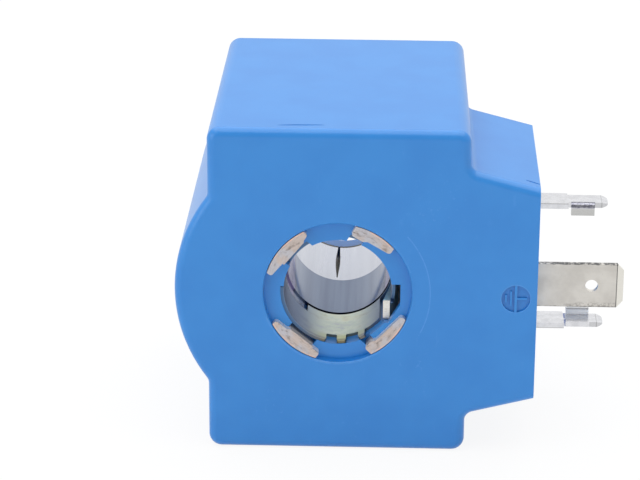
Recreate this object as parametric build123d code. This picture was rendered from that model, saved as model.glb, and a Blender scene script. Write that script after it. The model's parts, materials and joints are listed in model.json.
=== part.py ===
"""Encapsulated solenoid coil that clips onto a valve's armature tube.

Millimetres. X runs towards the plug terminals, Z is up and Y runs along the bore, into the part.
The origin is on the bore's axis, halfway through the moulded block. Most places along the bore
are depths behind the front face.
"""

from build123d import *
from math import atan2, cos, degrees, hypot, radians, sin, sqrt, tan
import os

# Moulded block
block_width = 35.7
block_height = 47.0
block_depth = 43.8
side_draft = 0.45
block_corner = 1.8
bulge_radius = 22.45
bulge_root = 1.5
rear_bulge_radius = 20.95
rear_bulge_root = 1.0
front_edge = 1.25
rear_edge = 0.6

# Connector nose
nose_reach = 27.3
nose_end_height = 31.0
nose_root_height = 35.9
nose_depth = 28.1
nose_root = 1.4

# Mouth and bore
recess_radius = 10.2
recess_depth = 1.15
recess_edge = 0.12
rear_lip_radius = 7.6
rear_lip_thickness = 2.8
rear_recess_radius = 10.25

# Bore lining, from the front: clip band, guide liner, rear pole sleeve
bore_radius = 7.4
liner_wall = 0.5
liner_start = 11.3
liner_lip_wall = 0.3
liner_end = 23.8
clip_wall = 0.45
clip_start = 1.3
clip_end = 10.7
clip_short_end = 8.4
clip_notch_depth = 2.1
clip_notch_corner = 0.3
clip_short_spread = 108.0
clip_notches = ((-96.4, 11.4), (-74.3, 13.5), (-48.5, 23.0))
collar_start_angle = -12.0
collar_end_angle = 176.0
collar_end = 2.6
rear_sleeve_wall = 1.5
rear_sleeve_end = 37.7
seam_angle = -95.0
seam_width = 0.55
seam_start_width = 0.15
seam_rear_width = 0.3
seam_end_gap = 1.0
seam_taper_length = 5.0

# Front pole sleeve and its lugs
front_sleeve_radius = 10.1
front_sleeve_wall = 1.3
front_sleeve_end = 21.0
lug_sink = 0.15
lug_corner = 0.45
lug_angles = (140.7, 59.0, -129.0, -43.7)
# Each lug's inner edge, as places along it and their distance from the bore's axis
lug_edges = (
    ((-3.93, 8.55), (-2.8, 8.47), (-1.4, 8.25), (2.7, 8.25), (3.05, 8.45), (3.93, 8.55)),
    ((-2.98, 8.22), (-1.0, 8.25), (-0.45, 8.58), (3.1, 8.62)),
    ((-3.75, 8.4), (-2.6, 8.4), (-2.3, 8.27), (1.6, 8.27), (1.95, 8.57), (3.95, 8.57)),
    ((-3.75, 8.6), (1.2, 8.6), (2.0, 8.25), (3.2, 8.25)),
)
# The stretch of each lug where the moulding leaves its inner edge bare
window_spans = ((-1.5, 2.85), (-2.8, -0.75), (-2.45, 1.8), (1.6, 3.05))
window_radius = 9.0
bare_radius = 8.25
lug_chamfer = 0.3
lug_chamfer_depth = 1.0

# Snap tongue
tongue_width = 2.9
tongue_thickness = 0.95
tongue_tip_x = 6.7
tongue_root_x = 7.9
tongue_tip_depth = 2.75
tongue_root_depth = 9.6
tongue_z = -3.4
tongue_gap = 0.25
socket_gap = 0.08
slot_top = 1.05
slot_side = 8.6
slot_skin = 1.15
pocket_gap = 0.2
slot_inside = 6.0
slot_low_gap = 0.2
slot_bevel_x = 7.0
slot_bevel_z = -1.95
tongue_tip_radius = 0.4

# Steel yoke
yoke_thickness = 2.0
yoke_end = 38.0
yoke_width = 32.0
yoke_height = 44.8
yoke_bend = 0.5
tenon_width = 7.0
tenon_spacing = 17.0

# Spool and wire
bobbin_tube_wall = 1.25
front_flange_thickness = 1.8
rear_flange_thickness = 1.2
flange_gap = 0.5
flange_rim = 0.6
tape_thickness = 0.3
tape_start = 8.0

# Plug blades
pin_spacing = 18.0
line_blade_depth = 14.05
earth_blade_offset = 9.0
blade_thickness = 0.8
line_root_width = 4.4
line_tip_width = 3.1
line_shoulder_x = 31.9
line_tip_x = 37.45
line_inner_x = 20.6
line_tip_corner = 0.9
line_lug_start = 32.3
line_lug_length = 3.25
line_lug_drop = 1.85
line_lug_overhang = 0.35
line_lug_bend = 0.75
earth_width = 6.3
earth_tip_x = 39.4
earth_foot_margin = 2.0
earth_corner = 0.9
tip_bevel_length = 0.9
tip_bevel_depth = 0.25
detent_radius = 0.875
detent_from_tip = 4.4

# Earth rivet
rivet_radius = 1.2
rivet_head_radius = 2.0
rivet_front_head = 0.7
rivet_rear_head = 0.5

# Terminal carrier
carrier_depth = 11.6
carrier_reach = 23.6
rail_width = 1.0
saddle_overlap = 2.0

# Leads
wire_diameter = 0.4
lead_bend = 0.8
lead_lift = 0.05
start_lead_setback = 0.3
finish_lead_sink = 1.0
finish_lead_depth = 7.2
sleeve_wall = 0.2
sleeve_length = 2.0
sleeve_gap = 0.7
sleeve_run = 0.5
joint_length = 2.0
joint_width = 1.4
joint_height = 0.7
joint_fillet = 0.35
joint_overhang = 0.3

# Worked out from the sizes above
liner_outer = bore_radius + liner_wall
clip_inner = liner_outer - clip_wall
rear_sleeve_outer = bore_radius + rear_sleeve_wall
front_sleeve_inner = front_sleeve_radius - front_sleeve_wall
bobbin_outer = front_sleeve_radius + bobbin_tube_wall
earth_depth = line_blade_depth - earth_blade_offset
plate_back = earth_depth - blade_thickness / 2
plate_front = plate_back - yoke_thickness
yoke_back = yoke_end
winding_start = plate_back + front_flange_thickness
winding_end = yoke_back - yoke_thickness - rear_flange_thickness
flange_radius = yoke_height / 2 - yoke_thickness - flange_gap
winding_radius = flange_radius - flange_rim
tape_radius = winding_radius + tape_thickness
rivet_x = (front_sleeve_radius + yoke_width / 2) / 2
earth_foot_x = rivet_x - earth_foot_margin
blade_z = pin_spacing / 2
lead_z = blade_z + blade_thickness / 2 + lead_lift + wire_diameter / 2
sleeve_start_x = sqrt(flange_radius**2 - lead_z**2) + sleeve_gap
lead_turn_x = sleeve_start_x + sleeve_length + sleeve_run + lead_bend
start_lead_depth = winding_start - wire_diameter / 2 - lead_lift
groove_depth = wire_diameter + 2 * lead_lift
tongue_outer_x = tongue_root_x + tongue_thickness / 2
pocket_reach = hypot(tongue_outer_x, abs(tongue_z) + tongue_width / 2) + pocket_gap


def facing(depth):
    """Plane across the bore at a depth, seen from the front: local x is X and local y is Z."""
    return Plane(origin=(0, depth - block_depth / 2, 0), x_dir=(1, 0, 0), z_dir=(0, -1, 0))


def slab(outline, start, end):
    """An outline in X and Z, solid between two depths."""
    return extrude(facing(end) * outline, amount=end - start)


def disc(radius, start, end):
    return slab(Circle(radius), start, end)


def tube(outer, inner, start, end):
    return slab(Circle(outer) - Circle(inner), start, end)


def box(x_span, depth_span, z_span):
    """A box between two values of X, of depth and of Z."""
    width = x_span[1] - x_span[0]
    height = z_span[1] - z_span[0]
    outline = Pos((x_span[0] + x_span[1]) / 2, (z_span[0] + z_span[1]) / 2) * Rectangle(width, height)
    return slab(outline, *depth_span)


def plan(z):
    """Plane level with the ground at a height: local x is X and local y is depth."""
    return Plane(origin=(0, -block_depth / 2, z), x_dir=(1, 0, 0), z_dir=(0, 0, 1))


def along_bore(edge):
    direction = edge.tangent_at(0.5)
    return abs(direction.Y) > 0.99


def outer_form():
    """The moulded shape without its bore: block, left bulge, nose and the swell behind the nose."""
    side = block_width / 2
    lean = block_depth * tan(radians(side_draft))
    base = Plane(origin=(0, -block_depth / 2, -block_height / 2), x_dir=(1, 0, 0), z_dir=(0, 0, 1))
    outline = Polygon(
        (-side, 0), (side, 0), (side - lean, block_depth), (lean - side, block_depth), align=None
    )
    block = extrude(base * outline, amount=block_height)
    block = fillet([e for e in block.edges() if along_bore(e)], block_corner)

    front = Plane(origin=(0, -block_depth / 2, 0), x_dir=(1, 0, 0), z_dir=(0, 1, 0))
    barrel = extrude(front * Circle(bulge_radius), amount=block_depth, taper=side_draft)
    half = Box(2 * bulge_radius, 2 * block_depth, 2 * bulge_radius, align=(Align.MAX, Align.CENTER, Align.CENTER))
    swell = disc(rear_bulge_radius, nose_depth - 1, block_depth) - half
    form = block + (barrel & half) + swell + nose_form()

    form = fillet(roots_at(form, -side, bulge_radius), bulge_root)
    form = fillet(roots_at(form, side - lean, rear_bulge_radius), rear_bulge_root)
    root_edges = [
        e
        for e in form.edges()
        if along_bore(e)
        and abs(e.center().X - side) < 0.6
        and abs(abs(e.center().Z) - nose_root_height / 2) < 0.8
        and e.length > nose_depth / 2
    ]
    form = fillet(root_edges, nose_root)
    front_edges = [
        e
        for e in form.edges()
        if abs(e.center().Y + block_depth / 2) < 0.001 and e.center().X < nose_reach - 0.5
    ]
    form = fillet(front_edges, front_edge)
    rear_edges = [e for e in form.edges() if abs(e.center().Y - block_depth / 2) < 0.001]
    return fillet(rear_edges, rear_edge)


def nose_form():
    """Connector nose: flush with the front face, tapered towards its flat end."""
    side = block_width / 2
    inside = side - 3 * nose_root
    slope = (nose_root_height - nose_end_height) / 2 / (nose_reach - side)
    inner_half = nose_root_height / 2 + slope * (side - inside)
    end_half = nose_end_height / 2
    outline = Polygon(
        (inside, -inner_half), (nose_reach, -end_half), (nose_reach, end_half), (inside, inner_half), align=None
    )
    return slab(outline, 0, nose_depth)


def roots_at(form, side, radius):
    """The two inward edges where a round swell meets the block's side."""
    meet_z = sqrt(radius**2 - side**2)
    return [
        e
        for e in form.edges()
        if along_bore(e) and abs(e.center().X - side) < 0.5 and abs(abs(e.center().Z) - meet_z) < 0.8
    ]


def make_clip_band():
    """Rolled ring: toothed front edge, stepped rear edge and the opening for the tongue."""
    band = tube(liner_outer, clip_inner, clip_start, clip_end)
    for middle, spread in clip_notches:
        band -= wedge(middle, spread, clip_start, clip_start + clip_notch_depth)
    band -= collar_wedge(clip_start)
    corners = [
        e for e in band.edges().filter_by(GeomType.LINE) if abs(e.tangent_at(0.5).Y) < 0.01 and e.length < 2 * clip_wall
    ]
    band = fillet(corners, clip_notch_corner)
    band -= wedge(180, clip_short_spread, clip_short_end, clip_end)
    return band - tongue_room(clip_start, tongue_root_depth + tongue_thickness)


def collar_wedge(start):
    """The sector in which the moulding's collar covers the clip band's front edge."""
    middle = (collar_start_angle + collar_end_angle) / 2
    outline = Circle(2 * recess_radius) & half_plane(middle, collar_end_angle - collar_start_angle)
    return slab(outline, start, collar_end)


def half_plane(middle, spread):
    """A sector of up to 270 degrees, as an outline in X and Z."""
    reach = 4 * recess_radius
    turns = [radians(middle + share * spread / 2) for share in (-1, -0.5, 0, 0.5, 1)]
    return Polygon((0, 0), *[(reach * cos(t), reach * sin(t)) for t in turns], align=None)


def wedge(middle, spread, start, end):
    """A sector about the bore's axis, for cuts in the rings."""
    reach = 2 * recess_radius
    half = radians(spread / 2)
    turn = radians(middle)
    near = (reach * cos(turn - half), reach * sin(turn - half))
    far = (reach * cos(turn + half), reach * sin(turn + half))
    return slab(Polygon((0, 0), near, far, align=None), start, end)


def make_guide_liner():
    """Drawn tube with a lip that follows the short side of the clip band."""
    gap = liner_start - clip_end
    lip_spread = clip_short_spread - 2 * degrees(gap / liner_outer)
    ring = tube(liner_outer, liner_outer - liner_lip_wall, 0, block_depth)
    lip = wedge(180, lip_spread, clip_short_end + gap, liner_start) & ring
    return tube(liner_outer, bore_radius, liner_start, liner_end) + lip


def make_rear_sleeve():
    """Rolled from strip, so a seam stays open near its lowest line, widest in the middle."""
    sleeve = tube(rear_sleeve_outer, bore_radius, liner_end, rear_sleeve_end)
    start, wide, rear = (width / 2 for width in (seam_start_width, seam_width, seam_rear_width))
    front = liner_end + seam_end_gap
    full = front + seam_taper_length
    seam = Polygon(
        (-start, front), (start, front), (wide, full), (rear, rear_sleeve_end), (-rear, rear_sleeve_end),
        (-wide, full), align=None,
    )
    cut = extrude(plan(-rear_sleeve_outer - 1) * seam, amount=rear_sleeve_wall + 1.5)
    return sleeve - Rot(0, -90 - seam_angle, 0) * cut


def lug_outline(edge):
    """One lug across the bore: the sleeve's outer arc, its inner edge and two rounded ends."""
    (left, left_height), (right, right_height) = edge[0], edge[-1]
    reach = 2 * front_sleeve_radius
    outline = Circle(front_sleeve_radius) & Polygon((left, reach), *edge, (right, reach), align=None)
    ends = [
        v
        for v in outline.vertices()
        if hypot(v.X - left, v.Y - left_height) < 0.01 or hypot(v.X - right, v.Y - right_height) < 0.01
    ]
    return fillet(ends, lug_corner)


def make_front_sleeve():
    """Pole sleeve with four lugs that stand in the front recess."""
    sleeve = tube(front_sleeve_radius, front_sleeve_inner, plate_front, front_sleeve_end)
    for angle, edge, span in zip(lug_angles, lug_edges, window_spans):
        lug = slab(lug_outline(edge), lug_sink, plate_front) - bare_chamfer(span)
        sleeve += Rot(0, 90 - angle, 0) * lug
    return sleeve - sleeve_pocket()


def bare_chamfer(span):
    """The bevel on the inner edge of a lug, on the stretch where it is bare."""
    side = Plane(origin=(span[0], -block_depth / 2, bare_radius), x_dir=(0, 1, 0), z_dir=(1, 0, 0))
    front, back = lug_sink - lug_chamfer_depth, lug_sink + 2 * lug_chamfer_depth
    outline = Polygon((front, 2 * lug_chamfer), (back, -lug_chamfer), (front, -lug_chamfer), align=None)
    return extrude(side * outline, amount=span[1] - span[0])


def lug_windows():
    """Pockets in the recess floor that leave each lug's inner edge bare."""
    windows = []
    for angle, (start, end) in zip(lug_angles, window_spans):
        corners = ((start, 0), (end, 0), (end, window_radius), (start, window_radius))
        windows.append(Rot(0, 90 - angle, 0) * slab(Polygon(*corners, align=None), 0, collar_end))
    return windows


def tongue_room(start, end):
    """The space that the tongue takes up and moves in, with its side clearance."""
    low = tongue_z - tongue_width / 2 - tongue_gap
    high = tongue_z + tongue_width / 2 + tongue_gap
    return box((tongue_tip_x - tongue_thickness, pocket_reach), (start, end), (low, high))


def sleeve_pocket():
    """Hollow in the front sleeve's wall that the tongue swings into."""
    room = tongue_room(tongue_tip_depth - tongue_gap, socket_end())
    return room & disc(pocket_reach, 0, block_depth)


def socket_end():
    return tongue_root_depth + tongue_thickness / 2 + socket_gap


def make_tongue():
    """Flat leaf that leans into the bore, with a round root and a sheared tip."""
    lean = atan2(tongue_root_x - tongue_tip_x, tongue_root_depth - tongue_tip_depth)
    length = hypot(tongue_root_x - tongue_tip_x, tongue_root_depth - tongue_tip_depth)
    leaf = Pos(0, -length / 2) * Rectangle(tongue_thickness, length) + Circle(tongue_thickness / 2)
    turned = Pos(tongue_root_x, tongue_root_depth) * Rot(0, 0, -degrees(lean)) * leaf
    low = tongue_z - tongue_width / 2
    tongue = extrude(plan(low) * turned, amount=tongue_width)
    tip_edges = [e for e in tongue.edges() if e.center().Y < tongue_tip_depth - block_depth / 2 + 0.1]
    long_tips = [e for e in tip_edges if abs(e.tangent_at(0.5).Z) < 0.5]
    return fillet(long_tips, tongue_tip_radius)


def tongue_slot():
    """Opening in the moulding round the tongue: a bevelled mouth and the room behind it."""
    half = tongue_width / 2
    low = tongue_z - half - tongue_gap
    low_edge = tongue_z - half + slot_low_gap
    mouth = Polygon(
        (slot_inside, low_edge), (slot_bevel_x, low_edge), (slot_side, slot_bevel_z), (slot_side, slot_top),
        (slot_inside, slot_top), align=None,
    )
    room = box((slot_inside, pocket_reach), (recess_depth + slot_skin, socket_end()), (low, slot_top))
    room &= disc(front_sleeve_inner, 0, block_depth)
    return slab(mouth, 0, recess_depth + slot_skin) + room + sleeve_pocket()


def make_yoke_plate():
    plate = slab(Rectangle(yoke_width, yoke_height), plate_front, plate_back)
    plate -= disc(front_sleeve_radius, plate_front, plate_back)
    for tenon in tenons():
        plate -= tenon
    hole = slab(Pos(rivet_x, 0) * Circle(rivet_radius), plate_front, plate_back)
    return plate - hole


def tenons():
    """Tongues on the frame's legs that are staked in the plate's edge slots."""
    z = yoke_height / 2 - yoke_thickness / 2
    outline = Rectangle(tenon_width, yoke_thickness)
    return [
        slab(Pos(side * tenon_spacing / 2, end * z) * outline, plate_front, plate_back)
        for side in (-1, 1)
        for end in (-1, 1)
    ]


def make_yoke_frame():
    """U-shaped strip: the rear plate and a leg above and below the winding."""
    half = yoke_height / 2
    length = yoke_back - plate_back
    outer = Pos(plate_back + length / 2, 0) * Rectangle(length, yoke_height)
    outer = fillet([v for v in outer.vertices() if v.X > plate_back + 1], yoke_bend + yoke_thickness)
    inner_length = length - yoke_thickness
    inner = Pos(plate_back + inner_length / 2, 0) * Rectangle(inner_length, 2 * (half - yoke_thickness))
    inner = fillet([v for v in inner.vertices() if v.X > plate_back + 1], yoke_bend)
    side_view = Plane(origin=(-yoke_width / 2, -block_depth / 2, 0), x_dir=(0, 1, 0), z_dir=(1, 0, 0))
    frame = extrude(side_view * (outer - inner), amount=yoke_width)
    frame -= disc(rear_sleeve_outer, yoke_back - 2 * yoke_thickness, yoke_back)
    for tenon in tenons():
        frame += tenon
    return frame


def make_bobbin():
    """Spool: stepped bore for the two pole sleeves, slot for the earth foot, groove for the lead."""
    bobbin = disc(bobbin_outer, plate_back, yoke_back - yoke_thickness)
    bobbin += disc(flange_radius, plate_back, winding_start)
    bobbin += disc(flange_radius, winding_end, winding_end + rear_flange_thickness)
    bobbin -= disc(front_sleeve_radius, plate_back, front_sleeve_end)
    bobbin -= disc(liner_outer, front_sleeve_end, liner_end)
    bobbin -= disc(rear_sleeve_outer, liner_end, yoke_back)
    bobbin -= earth_foot_space()
    return bobbin - lead_groove()


def earth_foot_space():
    """Slot in the front flange for the earth strip and the rivet's rear head."""
    half = earth_width / 2
    strip = box((earth_foot_x, flange_radius + 1), (plate_back, plate_back + blade_thickness), (-half, half))
    back = plate_back + blade_thickness + rivet_rear_head
    return strip + slab(Pos(rivet_x, 0) * Circle(rivet_head_radius), plate_back, back)


def lead_groove():
    """Groove in the front flange that lets the winding's inner end out."""
    half = wire_diameter / 2
    inner_x = sqrt(bobbin_outer**2 - lead_z**2)
    span = (inner_x, flange_radius + 1)
    return box(span, (winding_start - groove_depth, winding_start), (lead_z - half, lead_z + half))


def make_winding():
    return tube(winding_radius, bobbin_outer, winding_start, winding_end)


def make_tape():
    return tube(tape_radius, winding_radius, tape_start, winding_end)


def make_line_terminal():
    """Stamped blade with a side lug bent down, seen as the upper one."""
    top = blade_z + blade_thickness / 2
    low = top - blade_thickness
    root = box_about(line_inner_x, line_shoulder_x, line_root_width, low)
    blade = box_about(line_shoulder_x, line_tip_x, line_tip_width, low)
    corners = [e for e in blade.edges() if e.center().X > line_tip_x - 0.01 and abs(e.tangent_at(0.5).Z) > 0.9]
    blade = fillet(corners, line_tip_corner)
    edge_depth = line_blade_depth - line_tip_width / 2 - line_lug_overhang
    side = Plane(origin=(line_lug_start, -block_depth / 2, 0), x_dir=(0, 1, 0), z_dir=(1, 0, 0))
    upright = Pos(edge_depth + blade_thickness / 2, top - line_lug_drop / 2)
    profile = upright * Rectangle(blade_thickness, line_lug_drop)
    bridge = Pos(edge_depth + blade_thickness, top - blade_thickness / 2)
    profile += bridge * Rectangle(2 * blade_thickness, blade_thickness)
    outer = [v for v in profile.vertices() if v.X < edge_depth + 0.01 and v.Y > top - 0.01]
    profile = fillet(outer, line_lug_bend)
    lug = extrude(side * profile, amount=line_lug_length)
    return root + blade + lug - tip_bevels(line_tip_x, line_blade_depth, blade_z, "level")


def box_about(x_start, x_end, width, low):
    middle = Pos((x_start + x_end) / 2, line_blade_depth)
    return extrude(plan(low) * (middle * Rectangle(x_end - x_start, width)), amount=blade_thickness)


def tip_bevels(tip_x, depth, height, lie):
    """Two long wedges that thin a blade's tip on both faces; the blade lies level or upright."""
    half = blade_thickness / 2
    cut = Polygon(
        (tip_x - tip_bevel_length, half), (tip_x + 1, half), (tip_x + 1, half - 2 * tip_bevel_depth),
        (tip_x, half - tip_bevel_depth), align=None,
    )
    both = cut + mirror(cut, Plane.XZ)
    reach = earth_width
    if lie == "level":
        middle = Plane(origin=(0, depth - block_depth / 2, height), x_dir=(1, 0, 0), z_dir=(0, -1, 0))
    else:
        middle = Plane(origin=(0, depth - block_depth / 2, height), x_dir=(1, 0, 0), z_dir=(0, 0, 1))
    return extrude(middle * both, amount=reach, both=True)


def make_lower_terminal(upper):
    """The same stamping, turned half a turn about the nose's middle line."""
    middle = line_blade_depth - block_depth / 2
    return Pos(0, 2 * middle, 0) * Rot(180, 0, 0) * upper


def make_earth_terminal():
    length = earth_tip_x - earth_foot_x
    outline = Pos(earth_foot_x + length / 2, 0) * Rectangle(length, earth_width)
    tips = [v for v in outline.vertices() if v.X > earth_tip_x - 0.01]
    outline = chamfer(tips, earth_corner)
    outline -= Pos(earth_tip_x - detent_from_tip, 0) * Circle(detent_radius)
    outline -= Pos(rivet_x, 0) * Circle(rivet_radius)
    strip = slab(outline, plate_back, plate_back + blade_thickness)
    return strip - tip_bevels(earth_tip_x, earth_depth, 0, "upright")


def make_rivet():
    middle = Pos(rivet_x, 0)
    back = plate_back + blade_thickness
    rivet = slab(middle * Circle(rivet_radius), plate_front, back)
    rivet += slab(middle * Circle(rivet_head_radius), plate_front - rivet_front_head, plate_front)
    return rivet + slab(middle * Circle(rivet_head_radius), back, back + rivet_rear_head)


def make_carrier():
    """Saddle on the winding's tape, with a pair of rails beside each line terminal."""
    low = blade_z - blade_thickness / 2
    start = line_blade_depth - carrier_depth / 2
    end = line_blade_depth + carrier_depth / 2
    inner = tape_radius - saddle_overlap
    carrier = box((inner, carrier_reach), (start, end), (-low, low)) - disc(tape_radius, start, end)
    for side in (-1, 1):
        middle = line_blade_depth + side * (line_root_width + rail_width) / 2
        span = (middle - rail_width / 2, middle + rail_width / 2)
        for sign in (-1, 1):
            z_span = sorted((sign * low, sign * (low + blade_thickness)))
            carrier += box((line_inner_x, carrier_reach), span, z_span)
    return carrier


def lead(start_x, depth, sign):
    """A wire from the winding out to the nose, then back along a terminal's outer face."""
    y = depth - block_depth / 2
    end_y = line_blade_depth - block_depth / 2
    z = sign * lead_z
    path = Polyline(
        (start_x, y, z), (lead_turn_x - lead_bend, y, z), (lead_turn_x, y + lead_bend, z), (lead_turn_x, end_y, z)
    )
    section = Plane(origin=(start_x, y, z), z_dir=(1, 0, 0)) * Circle(wire_diameter / 2)
    return sweep(section, path, transition=Transition.RIGHT)


def make_start_lead():
    return lead(sqrt(bobbin_outer**2 - lead_z**2) + start_lead_setback, start_lead_depth, 1)


def make_finish_lead():
    wire = lead(sqrt(winding_radius**2 - lead_z**2) - finish_lead_sink, finish_lead_depth, -1)
    return wire - disc(winding_radius, 0, block_depth)


def make_lead_sleeves():
    """A short insulating sleeve on each lead, where it leaves the spool."""
    ring = Circle(wire_diameter / 2 + sleeve_wall) - Circle(wire_diameter / 2)
    sleeves = []
    for depth, sign in ((start_lead_depth, 1), (finish_lead_depth, -1)):
        middle = Plane(origin=(sleeve_start_x, depth - block_depth / 2, sign * lead_z), z_dir=(1, 0, 0))
        sleeves.append(extrude(middle * ring, amount=sleeve_length))
    return sleeves


def make_solder_joints(leads):
    """A fillet of solder round each lead's end, on the terminal's outer face."""
    end = line_blade_depth + joint_overhang
    joints = []
    for sign, wire in zip((1, -1), leads):
        face = sign * (blade_z + blade_thickness / 2)
        z_span = sorted((face, face + sign * joint_height))
        x_span = (lead_turn_x - joint_width / 2, lead_turn_x + joint_width / 2)
        block = box(x_span, (end - joint_length, end), z_span)
        outer = [e for e in block.edges() if abs(e.center().Z - face - sign * joint_height) < 0.001]
        joints.append(chamfer(outer, joint_fillet) - wire)
    return joints


def bore_space():
    """Everything that is open along the bore, front recess to rear recess."""
    rear_floor = yoke_back + rear_lip_thickness
    space = disc(recess_radius, -1, recess_depth)
    space += extrude(facing(recess_edge) * Circle(recess_radius), amount=2 * recess_edge, taper=-45)
    space += disc(liner_outer, 0, liner_end) - (collar_wedge(recess_depth) - disc(clip_inner, 0, block_depth))
    space += lug_windows()
    space += disc(rear_sleeve_outer, liner_end, yoke_back)
    space += disc(rear_lip_radius, yoke_back, block_depth)
    return space + disc(rear_recess_radius, rear_floor, block_depth + 1)


def make_housing(inserts):
    """One moulding round the finished inner parts."""
    housing = outer_form() - bore_space() - tongue_slot()
    core = disc(flange_radius, plate_back, winding_start)
    core += disc(tape_radius, winding_start, winding_end)
    core += disc(flange_radius, winding_end, winding_end + rear_flange_thickness)
    housing -= core - disc(front_sleeve_inner, 0, front_sleeve_end)
    for insert in inserts:
        housing -= insert
    return housing


def main():
    os.makedirs("parts", exist_ok=True)
    upper = make_line_terminal()
    leads = (make_start_lead(), make_finish_lead())
    nodes = {
        "bobbin": make_bobbin(),
        "winding": make_winding(),
        "winding_tape": make_tape(),
        "yoke_frame": make_yoke_frame(),
        "yoke_plate": make_yoke_plate(),
        "front_pole_sleeve": make_front_sleeve(),
        "rear_pole_sleeve": make_rear_sleeve(),
        "guide_liner": make_guide_liner(),
        "clip_band": make_clip_band(),
        "snap_tongue": make_tongue(),
        "line_terminal_upper": upper,
        "line_terminal_lower": make_lower_terminal(upper),
        "earth_terminal": make_earth_terminal(),
        "earth_rivet": make_rivet(),
        "terminal_carrier": make_carrier(),
        "start_lead": leads[0],
        "finish_lead": leads[1],
        "lead_sleeves": Compound(children=make_lead_sleeves()),
        "solder_joints": Compound(children=make_solder_joints(leads)),
    }
    moulded_in = [
        "yoke_frame", "yoke_plate", "front_pole_sleeve", "line_terminal_upper", "line_terminal_lower",
        "earth_terminal", "earth_rivet", "terminal_carrier", "start_lead", "finish_lead", "lead_sleeves",
        "solder_joints",
    ]
    nodes["housing"] = make_housing([nodes[name] for name in moulded_in])
    for name, shape in nodes.items():
        export_step(shape, f"parts/{name}.step")
        print(name, "solids", len(shape.solids()), "volume", round(shape.volume, 1))


main()
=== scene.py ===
# Solenoid valve coil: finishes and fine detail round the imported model
import json
import math

import bmesh
import bpy
from mathutils import Matrix, Vector


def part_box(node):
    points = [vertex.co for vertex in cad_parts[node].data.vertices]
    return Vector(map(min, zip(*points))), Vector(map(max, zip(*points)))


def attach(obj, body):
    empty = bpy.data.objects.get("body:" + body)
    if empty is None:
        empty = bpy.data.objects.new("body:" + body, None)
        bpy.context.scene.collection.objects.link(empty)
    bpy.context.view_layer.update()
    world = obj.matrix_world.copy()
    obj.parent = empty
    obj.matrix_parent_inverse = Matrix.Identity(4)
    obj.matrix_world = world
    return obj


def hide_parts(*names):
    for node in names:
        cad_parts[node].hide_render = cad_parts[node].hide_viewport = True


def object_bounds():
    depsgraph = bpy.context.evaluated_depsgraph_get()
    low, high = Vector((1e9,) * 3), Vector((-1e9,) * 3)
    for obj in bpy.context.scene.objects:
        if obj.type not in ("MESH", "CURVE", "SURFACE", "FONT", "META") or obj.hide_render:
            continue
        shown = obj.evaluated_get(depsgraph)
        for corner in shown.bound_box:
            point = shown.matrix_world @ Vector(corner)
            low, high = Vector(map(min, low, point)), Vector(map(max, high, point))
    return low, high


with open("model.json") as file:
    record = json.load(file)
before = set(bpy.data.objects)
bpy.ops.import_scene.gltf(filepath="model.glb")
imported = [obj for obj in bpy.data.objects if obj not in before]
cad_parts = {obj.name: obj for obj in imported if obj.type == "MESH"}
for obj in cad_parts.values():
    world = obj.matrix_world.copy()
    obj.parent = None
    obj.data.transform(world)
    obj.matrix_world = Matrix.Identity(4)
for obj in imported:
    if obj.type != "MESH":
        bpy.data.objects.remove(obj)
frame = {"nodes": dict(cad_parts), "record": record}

nodes = frame["nodes"]
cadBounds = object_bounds()
mm = 0.001
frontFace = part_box("housing")[0].y / mm  # place of the front face along the bore

photoView = {
    "place": (7.631, -358.546, 135.107),  # mm
    "right": (0.99946524, 0.03215448, 0.00594283),
    "up": (-0.0169225, 0.35311954, 0.93542515),
    "back": (0.02797958, -0.9350255, 0.35347484),
    "lens": 149.053,
    "sensor": 36.0,
    "nearest": 0.01,  # m
    "farthest": 20,
}


def link(obj):
    bpy.context.scene.collection.objects.link(obj)
    return obj


def placeCamera():
    data = bpy.data.cameras.new("photoCamera")
    data.lens = photoView["lens"]
    data.sensor_width = photoView["sensor"]
    data.clip_start = photoView["nearest"]
    data.clip_end = photoView["farthest"]
    eye = link(bpy.data.objects.new("photoCamera", data))
    turn = Matrix((photoView["right"], photoView["up"], photoView["back"])).transposed()
    eye.matrix_world = Matrix.Translation(Vector(photoView["place"]) * mm) @ turn.to_4x4()
    bpy.context.scene.camera = eye


placeCamera()
bpy.context.scene.view_settings.view_transform = "Standard"
print("camera placed")


class Signal:  # a node's output that sums can be written on
    def __init__(self, finish, socket):
        self.finish = finish
        self.socket = socket

    def work(self, operation, first, second=0.0):
        return self.finish.node("ShaderNodeMath", {"operation": operation}, {0: first, 1: second})

    def __add__(self, other):
        return self.work("ADD", self, other)

    __radd__ = __add__

    def __sub__(self, other):
        return self.work("SUBTRACT", self, other)

    def __rsub__(self, other):
        return self.work("SUBTRACT", other, self)

    def __mul__(self, other):
        return self.work("MULTIPLY", self, other)

    __rmul__ = __mul__

    def __truediv__(self, other):
        return self.work("DIVIDE", self, other)

    def __abs__(self):
        return self.work("ABSOLUTE", self)

    def __lt__(self, other):
        return self.work("LESS_THAN", self, other)

    def __gt__(self, other):
        return self.work("GREATER_THAN", self, other)


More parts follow.
